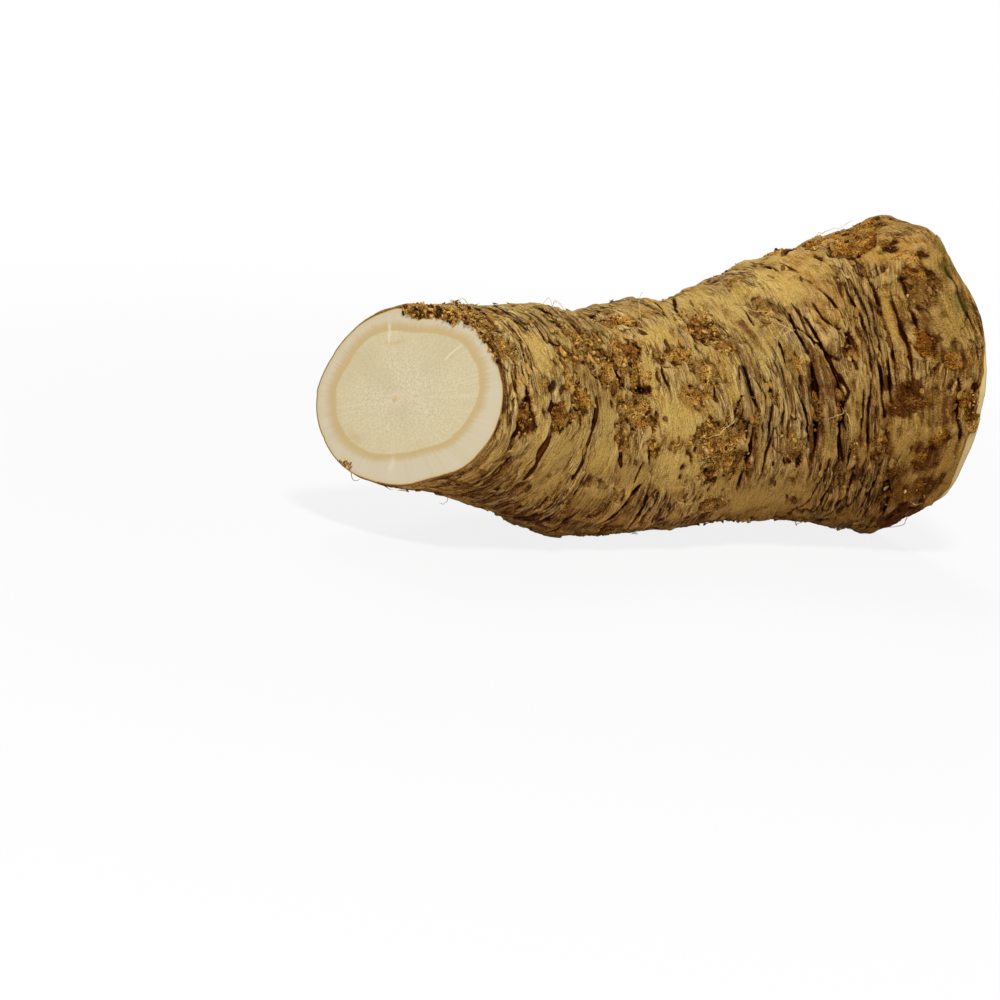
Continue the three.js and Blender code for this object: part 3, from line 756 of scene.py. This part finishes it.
class Value:
    """A socket whose arithmetic adds Math nodes."""

    def __init__(self, paint, socket):
        self.paint, self.socket = paint, socket

    def _math(self, operation, a, b):
        return self.paint.node("Math", {"operation": operation}, {0: a, 1: b})

    def __add__(self, other):
        return self._math("ADD", self, other)

    def __sub__(self, other):
        return self._math("SUBTRACT", self, other)

    def __rsub__(self, other):
        return self._math("SUBTRACT", other, self)

    def __mul__(self, other):
        return self._math("MULTIPLY", self, other)

    def __abs__(self):
        return self._math("ABSOLUTE", self, 0.0)

    __radd__, __rmul__ = __add__, __mul__

    def most(self, other):
        return self._math("MAXIMUM", self, other)

    def step(self, low, high):
        """0 below low and 1 above high, with a smooth run between (low may be the greater)."""
        ends = {"Value": self, "From Min": low, "From Max": high}
        return self.paint.node("MapRange", {"interpolation_type": "SMOOTHSTEP"}, ends)


class Paint:
    """A material, or a world, and its nodes."""

    def __init__(self, name, kind="materials"):
        self.painted = getattr(bpy.data, kind).new(name)
        self.painted.use_nodes = True
        self.tree = self.painted.node_tree
        self.tree.nodes.clear()

    def node(self, kind, settings=None, inputs=None, output=0):
        made = self.tree.nodes.new("ShaderNode" + kind)
        for key, setting in (settings or {}).items():
            if key == "stops":
                ramp = made.color_ramp.elements
                ramp[0].position, ramp[0].color = setting[0]
                ramp[1].position, ramp[1].color = setting[-1]
                for place, colour in setting[1:-1]:
                    ramp.new(place).color = colour
            else:
                setattr(made, key, setting)
        for key, given in (inputs or {}).items():
            if isinstance(given, Value):
                self.tree.links.new(given.socket, made.inputs[key])
            else:
                made.inputs[key].default_value = given
        return Value(self, made.outputs[output])

    def number(self, name):
        """A named number of the mesh's points."""
        return self.node("Attribute", {"attribute_name": name}, output=2)

    def vector(self, name):
        """A named vector of the mesh's points."""
        return self.node("Attribute", {"attribute_name": name}, output=1)

    def vectors(self, operation, *given, output=0):
        """Vector Math on what is given: its output 0 is a vector and 1 a number."""
        return self.node("VectorMath", {"operation": operation}, dict(enumerate(given)), output)

    def scaled(self, vector, x, y, z):
        return self.vectors("MULTIPLY", vector, (x, y, z))

    def lengthways(self, vector):
        """The first of a vector's three numbers, which runs along the root."""
        return self.node("SeparateXYZ", None, {0: vector})

    def noise(self, vector, scale, detail=2.0, roughness=0.5, distortion=0.0):
        return self.node("TexNoise", None, {"Vector": vector, "Scale": scale, "Detail": detail,
                                            "Roughness": roughness, "Distortion": distortion})

    def drawn_out(self, vector, along, across, *settings):
        """Noise at one scale along the root and another across it."""
        return self.noise(self.scaled(vector, along, across, across), 1.0, *settings)

    def cells(self, vector, scale):
        return self.node("TexVoronoi", None, {"Vector": vector, "Scale": scale})

    def mix(self, share, a, b, blend="MIX"):
        """Colour a with colour b over it by that share."""
        return self.node("Mix", {"data_type": "RGBA", "blend_type": blend}, {0: share, 6: a, 7: b}, 2)

    def over(self, colour, *layers):
        """A colour with layers laid over it in turn, each a share, a screen colour and, if need be, a blend."""
        for share, top, *blend in layers:
            colour = self.mix(share, colour, tint(*top), *blend)
        return colour

    def ramp(self, value, *stops):
        """A colour that runs through the stops, each a place and the three parts of a screen colour."""
        return self.node("ValToRGB", {"stops": [(place, tint(*top)) for place, *top in stops]}, {0: value})

    def bump(self, height, distance, normal=None):
        """A bump of height 0 to 1 that stands `distance` millimetres proud."""
        inputs = {"Height": height, "Distance": distance * MM, "Strength": 1.0}
        if normal is not None:
            inputs["Normal"] = normal
        return self.node("Bump", None, inputs)

    def seen(self):
        """One for camera, glossy and transmission rays, and zero for the light that falls on things."""
        camera, gloss, through = (self.node("LightPath", output=f"Is {ray} Ray") for ray in SEEN_BY)
        return camera.most(gloss).most(through)

    def finish(self, shader, output="Material"):
        """Joins a shader to the output."""
        end = self.tree.nodes.new("ShaderNodeOutput" + output)
        self.tree.links.new(shader.socket, end.inputs["Surface"])
        return self.painted

    def surface(self, colour, roughness, normal, gloss):
        """The material with a dry surface of that colour, roughness, relief and level of gloss."""
        sockets = {"Base Color": colour, "Roughness": roughness, "Normal": normal, "IOR": 1.4,
                   "Specular IOR Level": gloss}
        return self.finish(self.node("BsdfPrincipled", None, sockets))


# Where the small end's face has its heart, and its marks: two ends as shares of the radius up and to the side, half
# width, strength.
HEART = (0, -0.05, -0.12)
PALE_MARKS = [
    (0.74, -0.42, 0.5, -0.36, 0.03, 0.6), (0.44, 0.33, 0.66, 0.49, 0.018, 0.5),
    (-0.29, -0.15, -0.39, -0.14, 0.022, 0.35), (-0.65, 0, -0.86, 0.01, 0.05, 0.3),
]
TAN_MARKS = [
    (0.5, -0.44, 0.6, -0.14, 0.035, 0.4), (-0.44, -0.58, -0.54, -0.42, 0.07, 0.4),
]


def mark(p, disc, up, side, end_up, end_side, width):
    """How much of a short mark with soft wavering edges covers a place on the small end's face."""
    run_up, run_side = end_up - up, end_side - side
    reach = math.hypot(run_up, run_side)
    off = p.vectors("SUBTRACT", disc, (0, up, side))
    way, across = (0, run_up / reach, run_side / reach), (0, -run_side / reach, run_up / reach)
    along, aside = (p.vectors("DOT_PRODUCT", off, v, output=1) for v in (way, across))
    aside = aside + (p.noise(disc, 9.0, 3.0) - 0.5) * 0.07
    here = p.lengthways(disc).step(0.5, 0.4)
    return abs(aside).step(width, 0.0) * along.step(-width, width * 2) * along.step(reach + width, reach * 0.6) * here


def flesh_colour(p):
    """Cut flesh: pale wood with fine rays and dots out from the heart, a tan ring with a sharp inner edge, a pale
    rind outside it, and a thin brown line where the skin was cut."""
    disc, inward, ring = p.vector("disc"), p.number("past_bark"), p.number("tan_ring")
    from_heart = p.vectors("SUBTRACT", p.scaled(disc, 0, 1, 1), HEART)
    heart = p.vectors("LENGTH", from_heart, output=1)
    outwards = p.vectors("NORMALIZE", from_heart)
    rays = p.noise(outwards, 42.0, 2.0, 0.6)
    broad_rays = p.noise(outwards, 9.0, 2.0)
    dots = p.noise(p.vector("grain"), 2.6, 3.0, 0.65)
    clouds = p.noise(disc, 2.2, 2.0)
    ring = ring + (p.noise(disc, 3.0, 2.0) - 0.5) * 0.06
    wood = p.mix(dots.step(0.38, 0.62), tint(191, 177, 141), tint(208, 196, 164))
    wood = p.over(
        wood,
        (ring.step(0.3, 1.0) * 0.5, (195, 180, 139)),
        (rays.step(0.5, 0.68) * ring.step(0.3, 0.8) * 0.4, (213, 201, 170)),
        (clouds.step(0.45, 0.7) * 0.4, (186, 172, 136)),
        (heart.step(0.13, 0.02) * 0.4, (215, 202, 176)),
        ((heart + (dots - 0.5) * 0.08).step(0.045, 0.015) * 0.7, (197, 160, 102)),
        *[(mark(p, disc, *place) * share, (190, 156, 103)) for *place, share in TAN_MARKS],
    )
    rind = p.over(
        p.mix(rays.step(0.42, 0.6) * 0.2, tint(198, 185, 157), tint(206, 196, 170)),
        (broad_rays.step(0.4, 0.7) * 0.4, (193, 177, 142)),
        (inward.step(1.6, 0.3) * 0.4, (197, 176, 132)),
    )
    tan = ring.step(0.97, 1.0) * (ring + (rays - 0.5) * 0.12).step(1.17, 1.03)
    colour = p.over(
        p.mix(ring.step(0.99, 1.01), wood, rind),
        (tan * 0.85, (188, 162, 111)),
        *[(mark(p, disc, *place) * share, (222, 215, 191)) for *place, share in PALE_MARKS],
        (p.number("golden") * 0.6, (200, 166, 96)),
        (inward.step(0.42, 0.22), (174, 139, 80)),
        (inward.step(0.2, 0.08), (107, 72, 29)),
    )
    return colour, dots, rays


def bark_colour(p):
    """Bark: tan and olive skin drawn out around the root, with painted shade and soil in its hollows and painted
    highlights on its crests, and orange-brown where it is corky.
    Noise that is squeezed along the root gives its streaks, and narrow bands about its middle value the cracks."""
    grain, cork, hollow, bed = p.vector("grain"), p.number("cork"), p.number("hollow"), p.number("bed")
    stain, smooth, green, folded = (p.number(name) for name in ("stain", "smooth", "green", "folded"))
    golden, belly, peel = (p.number(name) for name in ("golden", "belly", "peel"))
    fibres = p.drawn_out(grain, 2.5, 0.4, 3.0, 0.75)
    streaks = p.drawn_out(grain, 0.9, 0.08, 5.0, 0.6)
    blotches = p.noise(grain, 0.15, 4.0, 0.62)
    grit = p.noise(grain, 2.4, 3.0, 0.75)
    crumbs = p.noise(grain, 2.8, 4.0, 0.8)
    granules = p.cells(grain, 3.4)
    lines = p.drawn_out(grain, 1.5, 0.06, 2.0, 0.6, 0.2)
    fine = fibres * 0.65 + grit * 0.35
    dashes = p.drawn_out(grain, 3.3, 0.36, 1.0)
    patchy = p.drawn_out(grain, 0.16, 0.09, 2.0)
    long_cracks = abs(p.drawn_out(grain, 0.42, 0.022, 2.5, 0.6) - 0.5)
    short_cracks = abs(p.drawn_out(grain, 0.8, 0.05, 2.5, 0.6) - 0.5)
    cracks = long_cracks.step(0.016, 0.004).most(short_cracks.step(0.018, 0.004) * 0.85)
    cracks = cracks * (patchy + folded * 0.3).step(0.45, 0.65) * (1 - smooth * 0.6)
    busy = patchy.step(0.4, 0.58) * 0.75 + 0.45
    specks = p.noise(grain, 3.8, 1.0)
    layer = peel.step(*LOWER_LAYER) * 0.46 + peel.step(*UPPER_LAYER) * 0.54
    upper_edge, lower_edge = (abs(peel - (run[0] + 0.005)).step(0.04, 0.01) for run in (UPPER_LAYER, LOWER_LAYER))
    plate_edges = upper_edge.most(lower_edge) * patchy.step(0.42, 0.56)
    # Pale lines beside the long cracks: painted highlights on their crests.
    crests = long_cracks.step(0.015, 0.035) * long_cracks.step(0.09, 0.04)
    flecks = (grit * 0.5 + streaks * 0.5).step(0.57, 0.61)
    skin = p.ramp(streaks * 0.5 + blotches * 0.5, (0.4, 154, 107, 34), (0.47, 184, 136, 48), (0.53, 204, 158, 66),
                  (0.62, 228, 190, 102))
    skin = p.over(
        skin,
        (smooth * 0.7, (226, 190, 102)),
        (golden * 0.6, (214, 154, 62)),
        ((1 - layer) * (0.4 - smooth * 0.3), (150, 94, 28)),
        (fine.step(0.48, 0.44) * (0.5 + folded * 0.2 - smooth * 0.32) * busy, (72, 29, 0)),
        (fine.step(0.53, 0.565) * (0.5 + folded * 0.16 - smooth * 0.28) * busy, (252, 222, 154)),
        (dashes.step(0.43, 0.39) * (0.54 - smooth * 0.36) * busy, (58, 20, 0)),
        (dashes.step(0.57, 0.61) * (0.52 - smooth * 0.36) * busy, (252, 218, 144)),
        (specks.step(0.44, 0.37) * 0.32, (70, 30, 0)),
        (specks.step(0.56, 0.63) * 0.32, (252, 220, 150)),
        (lines.step(0.44, 0.4) * (folded * 0.5), (76, 30, 0)),
        (lines.step(0.56, 0.59) * (folded * 0.4 + 0.05), (236, 196, 118)),
        (crests * (folded * 0.25 + 0.15), (244, 214, 146)),
        (cracks * (folded * 0.35 + 0.6), (44, 10, 0)),
        (plate_edges * (0.75 - smooth * 0.3), (60, 22, 2)),
        (flecks * (1 - smooth * 0.9) * 0.5, (76, 30, 2)),
    )
    gaps = crumbs - granules * 0.35
    corky = p.ramp(gaps + 0.15, (0.33, 62, 24, 2), (0.4, 150, 98, 32), (0.5, 206, 150, 62), (0.62, 240, 196, 116))
    torn = (crumbs - 0.5) * 1.8
    raised = hollow + (fine - 0.5) * 0.8
    torn_bed = bed + torn * 0.16
    stained_and_shaded = stain + (streaks - 0.5) * 2.0 + torn * 0.8
    towards_crown = p.lengthways(grain).step(92, 116)
    colour = p.over(
        p.mix((cork + torn).step(0.35, 0.55), skin, corky),
        # Painted highlight, with some wear, where the bark stands above its surroundings.
        (raised.step(-0.08, -0.4) * 0.55, (236, 200, 130)),
        # Painted shade, with soil, darkens the hollows.
        ((hollow + torn * 0.25).step(0.05, 0.28) * 0.85, (122, 68, 38), "MULTIPLY"),
        # Furrow beds: reddish-brown inner bark darkened with painted shade, and a painted black shadow down their
        # middle.
        (torn_bed.step(-0.16, 0.08) * 0.8, (150, 72, 36), "MULTIPLY"),
        ((torn_bed + (crumbs - 0.5) * 0.6).step(-0.05, 0.13) * 0.9, (34, 7, 0)),
        ((torn_bed + (streaks - 0.5) * 0.8).step(0.3, 0.5) * 0.8, (104, 56, 22)),
        # A painted near-black shadow in the deepest hollows.
        ((hollow + torn * 0.45).step(0.4, 0.85) * 0.9, (30, 6, 0)),
        # Stains, and painted shade over deep crevices and the underside, multiplied in.
        (stained_and_shaded.step(0.2, 0.9) * 0.9, (126, 74, 44), "MULTIPLY"),
        (green * 0.55, (74, 98, 40)),
        # Painted shade, with soil, warms and darkens the underside.
        (belly * 0.9, (255, 228, 206), "MULTIPLY"),
        (towards_crown, (222, 213, 198), "MULTIPLY"),
    )
    return colour, fine + dashes * 0.6, gaps, lines - cracks


def root_paint():
    """Bark outside the cuts and flesh on them, parted where past_bark, the way in from the skin, crosses zero."""
    p = Paint("bark_and_cut_flesh")
    cut = p.number("past_bark").step(-0.05, 0.05)
    flesh, dots, rays = flesh_colour(p)
    bark_tint, fine, gaps, lines = bark_colour(p)
    cork, folded = p.number("cork"), p.number("folded")
    normal = p.bump((fine * (0.9 - cork * 0.5) + gaps * (cork * 1.4 + 0.4) + lines * folded * 0.8) * (1 - cut), 1.4)
    normal = p.bump((dots * 0.5 + rays * 0.5) * cut, 0.05, normal)
    return p.surface(p.mix(cut, bark_tint, flesh), 0.68 + cork * 0.26 - cut * 0.3, normal, 0.04)


def cork_paint():
    """Crumbly cork: orange-tan, dark in the gaps between its knobs, partly with painted shade, and with painted
    highlights on their tops.
    """
    p = Paint("crumbly_cork")
    grain, knobs, body = p.vector("grain"), p.number("knobs"), p.number("body")
    crumbs = p.noise(grain, 3.8, 2.5, 0.75)
    granules = p.cells(p.scaled(grain, 1.0, 0.75, 0.75), 4.6)
    hue = p.noise(grain, 0.22, 3.0, 0.6)
    level = knobs * 0.7 + (crumbs - 0.5) * 2.4 + (0.4 - granules) * 0.4
    towards_crown = p.lengthways(grain).step(102, 114)
    colour = p.over(
        p.ramp(hue, (0.36, 192, 136, 54), (0.5, 214, 160, 70), (0.64, 234, 190, 106)),
        # Dark gaps between the knobs, partly painted shade, and painted highlights on their tops.
        (level.step(0.1, -0.1) * 0.7, (138, 84, 26)),
        (level.step(-0.08, -0.36) * 0.9, (46, 16, 2)),
        (level.step(0.15, 0.4) * 0.55, (244, 206, 132)),
        ((body + (crumbs - 0.5) * 1.4).step(0.6, 0.3) * 0.3, (96, 60, 22)),
        (towards_crown, (220, 204, 180), "MULTIPLY"),
        # Stains, and painted shade where a scab lies in a furrow.
        (p.number("dark").step(0.1, 0.7) * 0.7, (152, 116, 84), "MULTIPLY"),
    )
    return p.surface(colour, 0.95, p.bump(crumbs - granules * 0.4, 0.6), 0.04)


def shaded_paint(name, roughness, *stops):
    """A dry finish whose colour is drawn for each crumb, flake or rootlet and mottled a little."""
    p = Paint(name)
    mottle = p.noise(p.node("TexCoord", output="Object"), 900.0, 3.0, 0.6)
    colour = p.ramp(p.number("shade") * 0.8 + (mottle - 0.5) * 0.9 + 0.1, *stops)
    return p.surface(colour, roughness, p.bump(mottle, 0.2), 0.1)


# ---------------------------------------------------------------------------------------------- the set


def floor_paint():
    """A pale floor that fades to pure white away from the root for the camera, and for what glossy rays see."""
    p = Paint("pale_floor")
    paper = p.node("BsdfDiffuse", None, {"Color": (0.55, 0.55, 0.55, 1.0)})
    white = p.node("Emission", None, {"Color": WHITE, "Strength": 1.0})
    away = p.vectors("LENGTH", p.node("TexCoord", output="Object"), output=1)
    share = p.seen() * (0.85 + away.step(0.09, 0.3) * 0.15)
    return p.finish(p.node("MixShader", None, {0: share, 1: paper, 2: white}))


def make_floor(half=3.0, height=-0.02):
    """A flat square of that many metres each way from the middle, a hair under the root."""
    corners = np.array([(-half, -half), (half, -half), (half, half), (-half, half)]) / MM
    points = np.concatenate([corners, np.full((4, 1), height)], 1)
    floor = make_mesh("floor", points, [[0, 1, 2, 3]], lowest=height)
    floor.data.materials.append(floor_paint())


def make_world():
    """White to the camera and in gloss, and a soft pale sky to everything else."""
    p = Paint("studio", "worlds")
    sky, white = (p.node("Background", None, {"Color": WHITE, "Strength": level}) for level in (SKY, 1.0))
    bpy.context.scene.world = p.finish(p.node("MixShader", None, {0: p.seen(), 1: sky, 2: white}), "World")


def make_lamp(name, azimuth, elevation, distance, size, power):
    """A square area lamp that looks at the middle of the root, from degrees around and up and metres away."""
    a, e = math.radians(azimuth), math.radians(elevation)
    away = Vector((math.sin(a) * math.cos(e), -math.cos(a) * math.cos(e), math.sin(e)))
    data = bpy.data.lights.new(name, "AREA")
    data.size, data.energy = size, power
    lamp = bpy.data.objects.new(name, data)
    lamp.location = away * distance + Vector(LAMPS_AIM)
    lamp.rotation_mode = "QUATERNION"
    lamp.rotation_quaternion = away.to_track_quat("Z", "Y")
    bpy.context.scene.collection.objects.link(lamp)


SKY = 0.2  # how strongly the world lights the root
LAMPS_AIM = (0, 0, 0.035)
AIM = (6.07, -1.17, 32.5)  # the point of the root that the camera's place is worked out from
AIM_IN_FRAME = (0.155, 0.115)  # where that point shows: right of and above the frame's middle, in frame widths
CAMERA_TURN, CAMERA_RISE, CAMERA_ROLL = -27.0, 15.0, 7.0
CAMERA_AWAY = 700.0
FRAME_WIDTHS_AWAY = 3.185  # the lens: how many frame widths away a thing is that just fills the frame


def make_camera():
    """A camera that looks down a little on the small end's face, tipped by a few degrees."""
    a, e, r = (math.radians(d) for d in (CAMERA_TURN, CAMERA_RISE, CAMERA_ROLL))
    back = np.array([math.sin(a) * math.cos(e), -math.cos(a) * math.cos(e), math.sin(e)])
    level = np.array([math.cos(a), math.sin(a), 0.0])
    upright = np.cross(back, level)
    right = level * math.cos(r) + upright * math.sin(r)
    up = upright * math.cos(r) - level * math.sin(r)
    frame_width = CAMERA_AWAY / FRAME_WIDTHS_AWAY
    eye = np.array(AIM) + back * CAMERA_AWAY - (right * AIM_IN_FRAME[0] + up * AIM_IN_FRAME[1]) * frame_width
    data = bpy.data.cameras.new("camera")
    data.lens = data.sensor_width * FRAME_WIDTHS_AWAY
    data.clip_start, data.clip_end = 0.05, 20.0
    camera = bpy.data.objects.new("camera", data)
    camera.matrix_world = Matrix([[*map(float, row), float(at) * MM]
                                     for row, at in zip(np.stack([right, up, back], 1), eye)] + [[0, 0, 0, 1]])
    bpy.context.scene.collection.objects.link(camera)
    bpy.context.scene.camera = camera


make_camera()
make_floor()
make_world()
make_lamp("key", -18, 62, 0.9, 0.14, 8.1)
make_lamp("fill", -30, 6, 1.2, 0.4, 4.4)
make_lamp("back", 165, 50, 1.0, 0.4, 4.8)  # keeps the far side's colours as plain as the near side's
bpy.context.scene.view_settings.view_transform = "Standard"

skin = root_skin()
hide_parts("horseradish_root")
pieces = {
    skin: root_paint(),
    cork_scabs(): cork_paint(),
    cork_crumbs(): shaded_paint("loose_cork", 0.95, (0.2, 50, 24, 6), (0.45, 124, 82, 32), (0.7, 172, 126, 58),
                                (0.95, 210, 166, 94)),
    bark_flakes(): shaded_paint("dry_flakes", 0.85, (0.1, 64, 32, 8), (0.4, 112, 74, 30), (0.7, 146, 106, 48),
                                (0.95, 176, 136, 72)),
    fine_rootlets(): shaded_paint("fine_roots", 0.7, (0.1, 112, 76, 32), (0.5, 178, 142, 84), (0.9, 208, 178, 122)),
}
for piece, paint in pieces.items():
    piece.data.materials.append(paint)
    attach(piece, "root")
